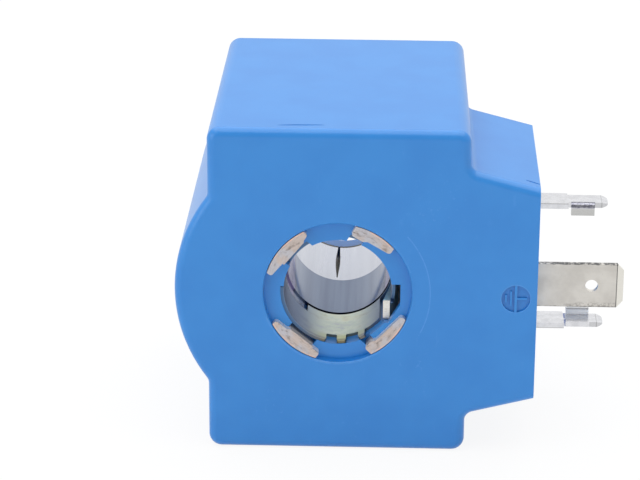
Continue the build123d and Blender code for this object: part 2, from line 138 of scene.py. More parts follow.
class Finish:  # one material and the few nodes that every finish needs
    def __init__(self, name, tree=None):
        if tree is None:
            self.material = bpy.data.materials.new(name)
            self.material.use_nodes = True
            tree = self.material.node_tree
            self.shader = tree.nodes["Principled BSDF"]
        self.tree = tree

    def node(self, kind, settings=None, sockets=None, output=0):
        made = self.tree.nodes.new(kind)
        for name, value in (settings or {}).items():
            if name == "stops":
                self.setStops(made.color_ramp, value)
            else:
                setattr(made, name, value)
        for key, value in (sockets or {}).items():
            self.feed(made.inputs[key], value)
        return Signal(self, made.outputs[output])

    def setStops(self, ramp, stops):
        while len(ramp.elements) < len(stops):
            ramp.elements.new(0.5)
        for element, (place, colour) in zip(ramp.elements, stops):
            element.position = place
            element.color = colour

    def feed(self, target, value):
        if isinstance(value, Signal):
            self.tree.links.new(value.socket, target)
        else:
            target.default_value = value

    def place(self):  # millimetres in the part's own frame
        spot = self.node("ShaderNodeTexCoord", output=3)
        return self.node("ShaderNodeVectorMath", {"operation": "SCALE"}, {0: spot, "Scale": 1 / mm})

    def axes(self):
        spot = self.place()
        return [self.node("ShaderNodeSeparateXYZ", {}, {0: spot}, axis) for axis in range(3)]

    def vector(self, x, y, z):
        return self.node("ShaderNodeCombineXYZ", {}, {0: x, 1: y, 2: z})

    def stretched(self, parts, factors):
        return self.vector(*[part * factor for part, factor in zip(parts, factors)])

    def flatLength(self, x, z):  # length across the bore
        return self.node("ShaderNodeVectorMath", {"operation": "LENGTH"}, {0: self.vector(x, 0.0, z)}, 1)

    def noise(self, spot, scale, detail=3.0, roughness=0.55):
        return self.node("ShaderNodeTexNoise", {}, {0: spot, 2: scale, 3: detail, 4: roughness})

    def ease(self, value, low, high):  # 0 below low, 1 above high
        settings = {"interpolation_type": "SMOOTHSTEP"}
        return self.node("ShaderNodeMapRange", settings, {0: value, 1: low, 2: high})

    def mix(self, share, first, second):
        return self.node("ShaderNodeMix", {"data_type": "RGBA"}, {0: share, 6: first, 7: second}, 2)

    def bump(self, height, distance, below=None):
        sockets = {"Height": height, "Distance": distance, "Strength": 1.0}
        if below is not None:
            sockets["Normal"] = below
        return self.node("ShaderNodeBump", {}, sockets)

    def set(self, **values):
        names = {"colour": "Base Color", "rough": "Roughness", "metal": "Metallic", "normal": "Normal"}
        for key, value in values.items():
            self.feed(self.shader.inputs[names.get(key, key)], value)
        return self.material


def within(value, low, high):  # 1 between the two
    return (value > low) * (value < high)


def roundBore(finish):  # angle about the bore in degrees, distance from its axis and place along it in mm
    x, y, z = finish.axes()
    angle = finish.node("ShaderNodeMath", {"operation": "ARCTAN2"}, {0: z, 1: x}) * math.degrees(1)
    return angle, finish.flatLength(x, z), y


def degreesFrom(finish, angle, line):  # 0 on a line along the bore, 180 opposite it
    return finish.node("ShaderNodeMath", {"operation": "PINGPONG"}, {0: angle - line, 1: 180.0})


earthSign = {
    "middle": (24.39, -0.30),  # mm across and up the front face
    "radius": 1.97,
    "depth": 0.30,
    "barSink": 0.04,
    "sides": 72,
    "bars": [  # low and high corner of each bar from the middle
        ((-0.18, -1.97), (0.18, 1.97)), ((-0.78, -1.07), (-0.54, 1.07)), ((-1.45, -0.54), (-1.24, 0.54)),
        ((0.10, -0.12), (1.52, 0.12)),
    ],
    # the hollow is darkened as painted shade, the rim lightened as a painted highlight
    "hollowDepth": (0.08, 0.14),  # mm behind the face
    "hollowReach": 0.02,  # mm outside the hollow's wall
    "hollowShare": 0.45,
    "rimBlend": 0.03,
    "rimWidth": 0.12,
    "rimDepth": 0.05,
    "rimShare": 0.6,
}

housingLook = {
    "blue": (0.022, 0.225, 0.625, 1),
    "deep": (0.018, 0.208, 0.600, 1),
    "scuffAndHighlightBlue": (0.075, 0.290, 0.700, 1),
    # painted shade for the sign's hollow
    "hollowShade": (0.012, 0.150, 0.500, 1),
    "rough": 0.27,
    "grainRough": 0.06,  # how much the grain and the scuffs add
    "scuffRough": 0.12,
    "gloss": 1.54,  # refractive index of the moulding's skin
    "skin": 0.2,  # mm behind the front face that still belong to it
    "cloudSize": 0.16,  # cells per mm
    "cloudRange": (0.3, 0.7),
    "rubStretch": (0.9, 0.9, 0.25),
    "rubRange": (0.62, 0.80),
    "rubShare": 0.25,
    "fleckSize": 1.3,
    "fleckDepth": 1.5,
    "fleckLean": 0.5,
    "fleckRange": (0.58, 0.72),
    "fleckShare": 0.55,
    "patches": [  # mm across and up the front face, and the radius
        (12.4, 13.2, 6.5), (10.8, -11.9, 4.5), (0.9, -20.1, 3.5), (-9.5, -16.8, 4.0),
    ],
    "patchCore": 0.4,  # share of a patch's radius that is scuffed in full
    # the arc at 12.7 mm is a witness ring; the arcs near 10.4 mm are painted highlights on the recess's edge
    "arcs": [  # radius, half width, first and last degree, strength
        (12.7, 0.07, -28, 42, 0.7), (10.42, 0.10, -160, -55, 0.5), (10.45, 0.07, 18, 60, 0.35),
    ],
    "arcBreaks": (0.36, 0.5),
    "grainSize": 5.0,
    "grainHeight": 3e-6,
    "waveSize": 0.12,
    "waveHeight": 22e-6,
}


def scuffPatches(finish, x, z):  # 1 where the front face is scuffed
    share = 0.0
    for across, up, radius in housingLook["patches"]:
        off = finish.flatLength(x - across, z - up)
        share = share + (1 - finish.ease(off, radius * housingLook["patchCore"], radius))
    return share


def witnessAndEdgeHighlights(finish, flecks):  # broken pale arcs round the recess: a witness ring, and painted highlights along the recess's edge
    angle, reach, y = roundBore(finish)
    broken = finish.ease(flecks, *housingLook["arcBreaks"])
    share = 0.0
    for radius, width, low, high, strength in housingLook["arcs"]:
        line = within(reach, radius - width, radius + width) * within(angle, low, high)
        share = share + line * strength * broken
    return share * (y < frontFace + housingLook["skin"])


def signShadeAndHighlight(finish, x, y, z):  # painted shade in the sign's hollow and a painted highlight on its rim
    sign = earthSign
    across, up = sign["middle"]
    depth = y - frontFace
    outside = finish.flatLength(x - across, z - up) - sign["radius"]
    hollow = finish.ease(depth, *sign["hollowDepth"]) * (outside < sign["hollowReach"])
    rim = finish.ease(outside, 0.0, sign["rimBlend"]) * (outside < sign["rimWidth"])
    rim = rim * (depth < sign["rimDepth"])
    return hollow * sign["hollowShare"], rim * sign["rimShare"]


def housingFinish():
    look = housingLook
    finish = Finish("housingPlastic")
    spot = finish.place()
    x, y, z = finish.axes()
    clouds = finish.noise(spot, look["cloudSize"], 2.0)
    grain = finish.noise(spot, look["grainSize"], 2.0, 0.7)
    wave = finish.noise(spot, look["waveSize"], 1.0)
    rubbed = finish.noise(finish.stretched((x, y, z), look["rubStretch"]), 1.0, 4.0, 0.65)
    size = look["fleckSize"]
    lean = look["fleckLean"]
    turned = finish.vector(x * size + z * lean, y * look["fleckDepth"], z * size - x * lean)
    flecks = finish.noise(turned, 1.0, 4.0, 0.7)
    worn = scuffPatches(finish, x, z) * (y < frontFace + look["skin"])
    scuffsAndHighlights = finish.ease(rubbed, *look["rubRange"]) * look["rubShare"]
    scuffsAndHighlights = scuffsAndHighlights + finish.ease(flecks, *look["fleckRange"]) * worn * look["fleckShare"]
    # adds the witness ring and the painted highlights on the recess's edge
    scuffsAndHighlights = scuffsAndHighlights + witnessAndEdgeHighlights(finish, flecks)
    hollow, rim = signShadeAndHighlight(finish, x, y, z)
    colour = finish.mix(finish.ease(clouds, *look["cloudRange"]), look["deep"], look["blue"])
    colour = finish.mix(scuffsAndHighlights, colour, look["scuffAndHighlightBlue"])
    # painted shade in the sign's hollow
    colour = finish.mix(hollow, colour, look["hollowShade"])
    # painted highlight on the sign's rim, in the pale scuffed blue
    colour = finish.mix(rim, colour, look["scuffAndHighlightBlue"])
    rough = look["rough"] + look["grainRough"] * grain + look["scuffRough"] * scuffsAndHighlights
    normal = finish.bump(wave, look["waveHeight"])
    normal = finish.bump(grain, look["grainHeight"], normal)
    return finish.set(colour=colour, rough=rough, normal=normal, IOR=look["gloss"])


nylonLook = {
    "pale": (0.70, 0.66, 0.54, 1),
    "dark": (0.62, 0.58, 0.45, 1),
    "fibreStretch": (6, 1.2, 6),
    "fibreHeight": 6e-6,
    "mottleSize": 0.5,
    "rough": 0.42,
    "fibreRough": 0.15,
}


def nylonFinish():
    look = nylonLook
    finish = Finish("bobbinNylon")
    fibres = finish.noise(finish.stretched(finish.axes(), look["fibreStretch"]), 1.0)
    mottle = finish.noise(finish.place(), look["mottleSize"])
    colour = finish.mix(mottle, look["dark"], look["pale"])
    rough = look["rough"] + look["fibreRough"] * fibres
    return finish.set(colour=colour, rough=rough, normal=finish.bump(fibres, look["fibreHeight"]))


wireLook = {
    "dark": (0.50, 0.16, 0.06, 1),
    "bright": (0.66, 0.27, 0.11, 1),
    "pitch": 0.26,  # mm from turn to turn
    "turnHeight": 0.35,  # share of the pitch
    "blotchSize": 0.7,
    "blotchRough": 0.12,
    "rough": 0.24,
    "metal": 0.85,
    "enamel": 0.6,
}


def wireFinish():
    look = wireLook
    pitch = look["pitch"]
    finish = Finish("enamelledWire")
    angle, _, y = roundBore(finish)
    along = (y + angle * (pitch / 360)) * (math.tau / pitch)
    turns = finish.node("ShaderNodeMath", {"operation": "SINE"}, {0: along})
    blotch = finish.noise(finish.place(), look["blotchSize"])
    colour = finish.mix(blotch, look["dark"], look["bright"])
    normal = finish.bump(turns * 0.5 + 0.5, pitch * look["turnHeight"] * mm)
    rough = look["rough"] + look["blotchRough"] * blotch
    finish.set(colour=colour, rough=rough, metal=look["metal"], normal=normal)
    return finish.set(**{"Coat Weight": look["enamel"]})


tapeLook = {
    "pale": (0.66, 0.38, 0.07, 1),
    "dark": (0.56, 0.30, 0.04, 1),
    "edge": (0.30, 0.14, 0.02, 1),
    "lap": 12.0,  # mm from edge to edge
    "edgeRange": (0.97, 0.99),  # shares of the lap
    "edgeShare": 0.6,
    "edgeHeight": 4e-5,
    "tintSize": 0.4,
    "tintRough": 0.15,
    "rough": 0.2,
}


def tapeFinish():
    look = tapeLook
    lap = look["lap"]
    finish = Finish("amberTape")
    angle, _, y = roundBore(finish)
    turn = finish.node("ShaderNodeMath", {"operation": "FRACT"}, {0: (y + angle * (lap / 360)) / lap})
    edge = finish.ease(turn, *look["edgeRange"])
    tint = finish.noise(finish.place(), look["tintSize"])
    colour = finish.mix(tint, look["dark"], look["pale"])
    colour = finish.mix(edge * look["edgeShare"], colour, look["edge"])
    normal = finish.bump(1 - edge, look["edgeHeight"])
    return finish.set(colour=colour, rough=look["rough"] + look["tintRough"] * tint, normal=normal)


stripLook = {
    "tint": (0.55, 0.56, 0.57, 1),
    "shade": (0.42, 0.43, 0.45, 1),
    "lineStretch": (6, 0.4, 6),
    "lineHeight": 5e-6,
    "lineRough": 0.14,
    "spotSize": 0.8,
    "spotRange": (0.35, 0.7),
    "rough": 0.34,
}


def stripFinish():  # plated strip with its rolling lines
    look = stripLook
    finish = Finish("zincedStrip")
    lines = finish.noise(finish.stretched(finish.axes(), look["lineStretch"]), 1.0, 4.0, 0.6)
    spots = finish.noise(finish.place(), look["spotSize"])
    colour = finish.mix(finish.ease(spots, *look["spotRange"]), look["shade"], look["tint"])
    rough = look["rough"] + look["lineRough"] * lines
    return finish.set(colour=colour, rough=rough, metal=1.0, normal=finish.bump(lines, look["lineHeight"]))


lugLook = {
    "grey": (0.53, 0.52, 0.555, 1),
    "tan": (0.57, 0.485, 0.445, 1),
    "torn": (0.24, 0.20, 0.18, 1),
    "salmon": (0.85, 0.56, 0.47, 1),
    "plated": (0.62, 0.60, 0.62, 1),
    # bare steel, painted near-white as a highlight
    "bevel": (0.95, 0.88, 0.82, 1),
    "fibreStretch": (0.11, 5.0, 5.5),  # by angle, distance from the axis and depth
    "tearStretch": (0.16, 1.8, 1.0),
    "tornFrom": (8.75, 9.1),  # mm from the axis, where the torn middle begins
    "tornTo": (9.4, 9.75),  # and where it ends
    "tornShare": 0.5,
    "tornElsewhere": 0.25,
    "tornRough": 0.2,
    "rimAt": (9.86, 9.98),
    "rimWander": 0.3,
    "cloudSize": 0.45,
    "greyRange": (0.38, 0.62),
    "salmonRange": (0.42, 0.62),
    "salmonShare": 0.6,
    "tearRange": (0.50, 0.66),
    "pitSize": 4.5,
    "pitRange": (0.62, 0.75),
    "pitShare": 0.15,
    "fibreRange": (0.45, 0.7),
    "fibreShare": 0.2,
    "shearDepth": (0.2, 0.26),  # mm behind the front face, where the sheared end stops
    "bevelDepth": (1.1, 1.3),
    "tearHeight": 3e-5,
    "rough": 0.40,
    "metal": 0.7,
}


def lugFinish():  # sheared front, bright bevel behind it, partly a painted highlight, plated below
    look = lugLook
    finish = Finish("shearedSteel")
    angle, reach, y = roundBore(finish)
    depth = y - frontFace
    spot = finish.place()
    fibres = finish.noise(finish.stretched((angle, reach, depth), look["fibreStretch"]), 1.0, 5.0, 0.6)
    tear = finish.noise(finish.stretched((angle, reach, depth), look["tearStretch"]), 1.0, 4.0, 0.65)
    clouds = finish.noise(spot, look["cloudSize"], 2.0)
    pits = finish.noise(spot, look["pitSize"], 2.0)
    behind = finish.ease(depth, *look["shearDepth"])
    below = finish.ease(depth, *look["bevelDepth"])
    middle = finish.ease(reach, *look["tornFrom"]) * (1 - finish.ease(reach, *look["tornTo"]))
    torn = finish.ease(tear, *look["tearRange"]) * (look["tornElsewhere"] + look["tornShare"] * middle)
    torn = torn + finish.ease(pits, *look["pitRange"]) * look["pitShare"]
    rim = finish.ease(reach + look["rimWander"] * (fibres - 0.5), *look["rimAt"])
    rim = rim * (1 - finish.ease(clouds, *look["salmonRange"]))
    colour = finish.mix(finish.ease(clouds, *look["greyRange"]), look["tan"], look["grey"])
    dark = torn + look["fibreShare"] * finish.ease(fibres, *look["fibreRange"])
    colour = finish.mix(dark, colour, look["torn"])
    colour = finish.mix(rim * look["salmonShare"], colour, look["salmon"])
    # painted highlight on the bevel
    colour = finish.mix(behind, colour, look["bevel"])
    colour = finish.mix(below, colour, look["plated"])
    rough = look["rough"] + look["tornRough"] * torn
    normal = finish.bump((fibres + tear) * (1 - behind), look["tearHeight"])
    return finish.set(colour=colour, rough=rough, metal=look["metal"], normal=normal)


tubeGrain = {
    "streakStretch": (0.09, 0.02, 0),  # cells per degree round the bore, per mm along it and outwards
    "streakRange": (0.35, 0.7),
    "fineStretch": (0.8, 0.1, 1),
    "fineHeight": 1.5e-6,
    "fineRough": 0.08,
}


def boreSteel(name, look):  # drawn or rolled steel with streaks along the bore
    finish = Finish(name)
    angle, reach, y = roundBore(finish)
    streaks = finish.noise(finish.stretched((angle, y, reach), tubeGrain["streakStretch"]), 1.0)
    fine = finish.noise(finish.stretched((angle, y, reach), tubeGrain["fineStretch"]), 1.0, 2.0)
    streaks = finish.ease(streaks, *tubeGrain["streakRange"]) * look["streakShare"]
    colour = finish.mix(streaks, look["tint"], look["shade"])
    rough = look["rough"] + tubeGrain["fineRough"] * fine
    normal = finish.bump(fine, tubeGrain["fineHeight"])
    return finish, angle, y, colour, {"rough": rough, "metal": 1.0, "normal": normal}


linerLook = {
    "tint": (0.150, 0.195, 0.290, 1),
    "shade": (0.098, 0.130, 0.215, 1),
    # painted reflection of the blue housing up the tube's sides
    "reflectedLilac": (0.22, 0.175, 0.35, 1),
    "line": (0.03, 0.03, 0.06, 1),
    "lowest": -90.0,  # angle of the bore's lowest line
    "reflectedLilacRange": (56.0, 61.0),  # degrees from it
    "lineAt": 58.0,
    "lineWidth": 1.5,
    "waverStretch": (0.02, 0.3, 0),
    "waver": 9.0,
    "lean": 0.5,  # degrees per mm along the bore
    "leanFrom": -10.0,  # mm along the bore
    "share": 0.7,
    "streakShare": 0.7,
    "rough": 0.12,
}


def linerFinish():  # grey-blue tube, painted lilac up its sides as a reflection of the blue housing
    look = linerLook
    finish, angle, y, colour, rest = boreSteel("drawnTube", look)
    at = look["lineAt"]
    width = look["lineWidth"]
    waver = finish.noise(finish.stretched((angle, y, 0.0), look["waverStretch"]), 1.0, 2.0)
    away = degreesFrom(finish, angle, look["lowest"])
    bent = away + look["waver"] * (waver - 0.5) - look["lean"] * (y - look["leanFrom"])
    side = finish.ease(bent, *look["reflectedLilacRange"])
    line = finish.ease(bent, at - width, at) * (1 - finish.ease(bent, at, at + width))
    # painted reflection of the blue housing up the sides
    colour = finish.mix(side * look["share"], colour, look["reflectedLilac"])
    colour = finish.mix(line * look["share"], colour, look["line"])
    return finish.set(colour=colour, **rest)


rearLook = {
    "tint": (0.575, 0.60, 0.67, 1),
    "shade": (0.50, 0.525, 0.60, 1),
    # used for the seam, and for the painted shadow at the rear rim
    "dark": (0.030, 0.031, 0.040, 1),
    "seamAngle": -95.2,
    "seamMiddle": 31.5,  # mm behind the front face
    "seamHalf": 0.34,  # half width in mm
    "seamTaper": 0.0085,
    "seamBlend": 0.03,
    "frayStretch": (0.2, 2.5, 0),
    "seamFray": 0.12,
    "wallPerDegree": 0.129,  # mm round the bore
    # painted shadow in the gap at the sleeve's rear end
    "rimDepth": (37.05, 37.13),
    "streakShare": 0.6,
    "rough": 0.22,
}


def rearFinish():  # bright rolled steel, dark where its seam was sheared, with painted shadow at its rear rim
    look = rearLook
    finish, angle, y, colour, rest = boreSteel("rolledSteel", look)
    depth = y - frontFace
    frayed = finish.noise(finish.stretched((angle, depth, 0.0), look["frayStretch"]), 1.0)
    off = abs((angle - look["seamAngle"]) * look["wallPerDegree"])
    late = depth - look["seamMiddle"]
    half = look["seamHalf"] - look["seamTaper"] * (late * late) + look["seamFray"] * (frayed - 0.5)
    seam = finish.ease(half - off, -look["seamBlend"], look["seamBlend"])
    rim = finish.ease(depth, *look["rimDepth"])
    colour = finish.mix(seam, colour, look["dark"])
    # painted shadow at the rear rim
    colour = finish.mix(rim, colour, look["dark"])
    return finish.set(colour=colour, **rest)


chromateLook = {
    "stops": [
        (0.28, (0.62, 0.66, 0.66, 1)), (0.42, (0.74, 0.82, 0.68, 1)), (0.52, (0.84, 0.90, 0.74, 1)),
        (0.63, (0.82, 0.85, 0.62, 1)), (0.76, (0.62, 0.58, 0.60, 1)),
    ],
    # painted sheen up the bore's sides
    "sideSheen": (0.15, 0.225, 0.37, 1),
    "olive": (0.60, 0.64, 0.20, 1),
    "brown": (0.22, 0.17, 0.12, 1),
    "edge": (0.08, 0.15, 0.27, 1),
    "cutBelow": (0.14, 0.11, 0.07, 1),
    "speck": (0.03, 0.035, 0.03, 1),
    "cloudStretch": (0.05, 0.4, 1),
    "fineStretch": (0.5, 2.5, 1),
    "wall": 7.45,  # mm from the bore's axis to the band's inner face
    "cutRange": (0.04, 0.08),  # mm outside it
    "cutShare": 0.8,
    "cutShareAside": 0.2,  # more of it up the sides
    "front": 1.3,  # mm behind the front face to the band's teeth
    "palestAngle": -86.0,
    "tealRange": (6.0, 58.0),  # degrees from it
    "tealWander": 24,
    "tealShare": 0.95,
    "oliveRange": (1.3, 2.6),  # mm behind the teeth
    "oliveWander": 1.5,
    "oliveShare": 0.55,
    "brownRange": (0.25, 1.0),
    "brownWander": 0.5,
    "brownShare": 0.6,
    "speckSize": 3.4,
    "speckRange": (0.76, 0.80),
    "speckShare": 0.7,
    "fineRough": 0.12,
    "fineHeight": 5e-6,
    "rough": 0.26,
    "metal": 0.9,
}


def chromateFinish():  # pale green film below, painted blue-grey sheen up the sides, olive at the rims and dark cut edges
    look = chromateLook
    finish = Finish("yellowChromate")
    angle, reach, y = roundBore(finish)
    behind = y - frontFace - look["front"]
    clouds = finish.noise(finish.stretched((angle, y, reach), look["cloudStretch"]), 1.0, 4.0)
    fine = finish.noise(finish.stretched((angle, y, reach), look["fineStretch"]), 1.0)
    specks = finish.ease(finish.noise(finish.place(), look["speckSize"], 1.0), *look["speckRange"])
    away = degreesFrom(finish, angle, look["palestAngle"])
    wander = clouds - 0.5
    side = finish.ease(away + look["tealWander"] * wander, *look["tealRange"])
    cut = finish.ease(reach - look["wall"], *look["cutRange"])
    rim = (1 - finish.ease(behind + look["oliveWander"] * wander, *look["oliveRange"])) * (1 - side)
    tips = 1 - finish.ease(behind + look["brownWander"] * wander, *look["brownRange"])
    colour = finish.node("ShaderNodeValToRGB", {"stops": look["stops"]}, {0: clouds})
    colour = finish.mix(rim * look["oliveShare"], colour, look["olive"])
    colour = finish.mix(tips * look["brownShare"], colour, look["brown"])
    # painted sheen up the sides
    colour = finish.mix(side * look["tealShare"], colour, look["sideSheen"])
    colour = finish.mix(specks * look["speckShare"], colour, look["speck"])
    cut = cut * (look["cutShare"] + look["cutShareAside"] * side)
    colour = finish.mix(cut, colour, finish.mix(side, look["cutBelow"], look["edge"]))
    rough = look["rough"] + look["fineRough"] * fine
    normal = finish.bump(fine, look["fineHeight"])
    return finish.set(colour=colour, rough=rough, metal=look["metal"], normal=normal)


tongueLook = {
    "tip": (0.86, 0.82, 0.75, 1),
    "worn": (0.66, 0.60, 0.50, 1),
    # painted reflection of the blue housing, lightened to stand for light the slot keeps out
    "reflectedBlue": (0.28, 0.56, 0.76, 1),
    "reflectedBluePale": (0.42, 0.66, 0.78, 1),
    "tipDepth": 2.98,  # mm behind the front face
    "tipBlend": 0.06,
    "tipMetal": 0.5,
    "blueCloudSize": 1.1,
    "blueCloudRange": (0.35, 0.65),
    "wornRange": (0.5, 0.75),
    "fibreStretch": (2, 2, 6),
    "fibreHeight": 8e-6,
    "fibreRough": 0.15,
    "rough": 0.36,
}


def tongueFinish():  # bright sheared tip on a leaf painted blue-green as a reflection of the blue housing, lightened as painted light where the slot shades it
    look = tongueLook
    finish = Finish("tongueSteel")
    x, y, z = finish.axes()
    clouds = finish.noise(finish.place(), look["blueCloudSize"])
    fibres = finish.noise(finish.stretched((x, y, z), look["fibreStretch"]), 1.0, 4.0, 0.6)
    end = look["tipDepth"]
    blend = look["tipBlend"]
    tip = 1 - finish.ease(y - frontFace, end - blend, end + blend)
    # painted reflection of the blue housing on the leaf
    reflectedBlue = finish.mix(finish.ease(clouds, *look["blueCloudRange"]), look["reflectedBlue"], look["reflectedBluePale"])
    bare = finish.mix(finish.ease(fibres, *look["wornRange"]), look["tip"], look["worn"])
    colour = finish.mix(tip, reflectedBlue, bare)
    rough = look["rough"] + look["fibreRough"] * fibres
    normal = finish.bump(fibres, look["fibreHeight"])
    return finish.set(colour=colour, rough=rough, metal=look["tipMetal"] * tip, normal=normal)


tinLook = {
    "bright": (0.74, 0.745, 0.77, 1),
    "dull": (0.64, 0.645, 0.67, 1),
    "lug": (0.53, 0.53, 0.52, 1),
    # the lower lug is painted lighter than the upper as painted light, its fold near-white as a painted
    # highlight
    "lowLug": (0.62, 0.62, 0.62, 1),
    "lowFold": (0.96, 0.96, 0.95, 1),
    "rubbed": (0.17, 0.17, 0.22, 1),
    "violet": (0.16, 0.21, 0.40, 1),
    "outline": (0.36, 0.36, 0.36, 1),
    "grainStretch": (0.8, 7, 7),
    "scribbleStretch": (2.6, 4, 5),
    "wearStretch": (1.6, 1.6, 1.6),
    "grainHeight": 5e-6,
    "grainRough": 0.10,
    "rough": 0.17,
    "blotchSize": 0.9,
    "blotchRange": (0.3, 0.7),
    "scribbleRange": (0.60, 0.66),
    "scribbleShare": 0.18,
    "bendRange": (0.42, 0.56),
    "bendShare": 0.55,
    "bendScribble": 0.35,
    "bendWander": 0.3,
    "violetRange": (0.35, 0.55),
    "edgeShare": 0.8,  # how dark the outlines are
    "bevelShare": 0.5,
    "foldShare": 0.6,
    "tipShare": 0.4,
    # widths of the painted shade lines at the bevel and the fold
    "bevelHalf": 0.06,  # half widths of two of them in mm
    "foldHalf": 0.08,
    "foldMatt": (0.5, 0.4),  # how far the lower lug is from metal, and how much further its fold
    "underside": 8.6,  # mm from the middle to a blade's inner face
    "bladeMiddle": 9.0,
    "bladeHalf": 0.36,  # just under half a blade's thickness
    "upperEdge": (9.28, 9.33),
    "lowLineAt": 7.76,  # mm below the middle
    "bendDepth": 12.75,  # mm behind the front face
    "rootFront": 11.85,
    "shoulder": 31.9,  # mm along the nose
    "lugStart": 32.2,
    "lugEnd": 35.6,
    "tipFrom": 35.55,
    "bevelStart": 36.55,
    "bevelSlope": 0.278,
}


def tinLines(finish, x, depth, height, lowLug):  # the stamping's outlines; the lines at the tip's bevel and at the lower lug's fold are painted shade in those creases
    look = tinLook
    upperEdge = finish.ease(height, *look["upperEdge"]) * (depth < look["rootFront"] + 0.03)
    upperEdge = upperEdge * (x < look["shoulder"])
    fromBevel = x - look["bevelStart"]
    # painted shade at the tip bevel's crease and at the lower lug's fold
    bevel = abs(fromBevel) < look["bevelHalf"]
    lowLine = lowLug * (abs(height - look["lowLineAt"]) < look["foldHalf"])
    offMiddle = abs(height - look["bladeMiddle"])
    slope = look["bevelSlope"] * fromBevel
    half = look["bladeHalf"]
    tipEdge = (x > look["tipFrom"]) * (offMiddle < half) * (offMiddle + slope < half)
    edges = upperEdge * look["edgeShare"] + bevel * look["bevelShare"]
    return edges + lowLine * look["foldShare"] + tipEdge * look["tipShare"]


def tinFinish():  # bright tin with rubbed lines where the lug is bent and where the blade was stamped
    look = tinLook
    finish = Finish("tinnedBrass")
    x, y, z = finish.axes()
    depth = y - frontFace
    height = abs(z)
    underside = look["underside"]
    grain = finish.noise(finish.stretched((x, y, z), look["grainStretch"]), 1.0, 4.0, 0.6)
    blotch = finish.noise(finish.place(), look["blotchSize"])
    scribble = finish.noise(finish.stretched((x, y, z), look["scribbleStretch"]), 1.0, 5.0, 0.75)
    wear = finish.noise(finish.stretched((x, y, z), look["wearStretch"]), 1.0, 3.0, 0.7)
    lug = 1 - finish.ease(height, underside - 0.1, underside)
    lowLug = lug * (z < 0)
    atFold = height > look["lowLineAt"]
    onLug = finish.ease(x, look["lugStart"], look["lugStart"] + 0.15) * (x < look["lugEnd"])
    bendAt = depth + look["bendWander"] * (wear - 0.5)
    bend = 1 - finish.ease(bendAt, look["bendDepth"] - 0.1, look["bendDepth"])
    bend = bend * onLug * finish.ease(z, underside - 0.05, underside + 0.1)
    bend = bend * (look["bendShare"] + finish.ease(scribble, *look["bendRange"]) * look["bendScribble"])
    rubs = finish.ease(scribble, *look["scribbleRange"]) * look["scribbleShare"] + bend
    shoulder = within(x, look["shoulder"] + 0.02, look["lugStart"]) * (z < 0)
    colour = finish.mix(finish.ease(blotch, *look["blotchRange"]), look["dull"], look["bright"])
    colour = finish.mix(lug, colour, look["lug"])
    # painted light on the lower lug and a painted highlight on its fold
    colour = finish.mix(lowLug, colour, finish.mix(atFold, look["lowLug"], look["lowFold"]))
    colour = finish.mix(tinLines(finish, x, depth, height, lowLug), colour, look["outline"])
    colour = finish.mix(shoulder * finish.ease(wear, *look["violetRange"]), colour, look["violet"])
    colour = finish.mix(rubs, colour, look["rubbed"])
    rough = look["rough"] + look["grainRough"] * grain
    lugMatt, foldMatt = look["foldMatt"]
    metal = 1 - lowLug * (lugMatt + foldMatt * atFold)
    return finish.set(colour=colour, rough=rough, metal=metal, normal=finish.bump(grain, look["grainHeight"]))


earthLook = {
    "face": (0.70, 0.675, 0.63, 1),
    "dull": (0.60, 0.575, 0.535, 1),
    "sheared": (0.10, 0.10, 0.10, 1),
    "mark": (0.20, 0.19, 0.18, 1),
    # painted highlight on the tip's bevel
    "bevel": (0.80, 0.78, 0.725, 1),
    "bevelStart": 38.5,  # mm along the nose
    "lineStretch": (0.5, 6, 6),
    "chipStretch": (1.6, 1.0, 5),
    "markStretch": (2.2, 1.0, 3.4),
    "markHeight": (2.2, 3.0),  # mm below the middle
    "markFrom": (30.0, 33.0),
    "markRange": (0.47, 0.55),
    "markShare": 0.6,
    "cloudSize": 0.45,
    "cloudRange": (0.3, 0.7),
    "speckSize": 3.2,
    "speckRange": (0.70, 0.76),
    "speckShare": 0.5,
    "topChip": 0.55,  # mm
    "topRange": (0.18, 0.30),  # mm past the blade's upper edge
    "lowChip": 0.9,
    "lowRange": (0.32, 0.42),
    "chipShare": 0.7,
    "lineShare": 0.75,
    "lineHeight": 7e-6,
    "lineRough": 0.14,
    "rough": 0.38,
}


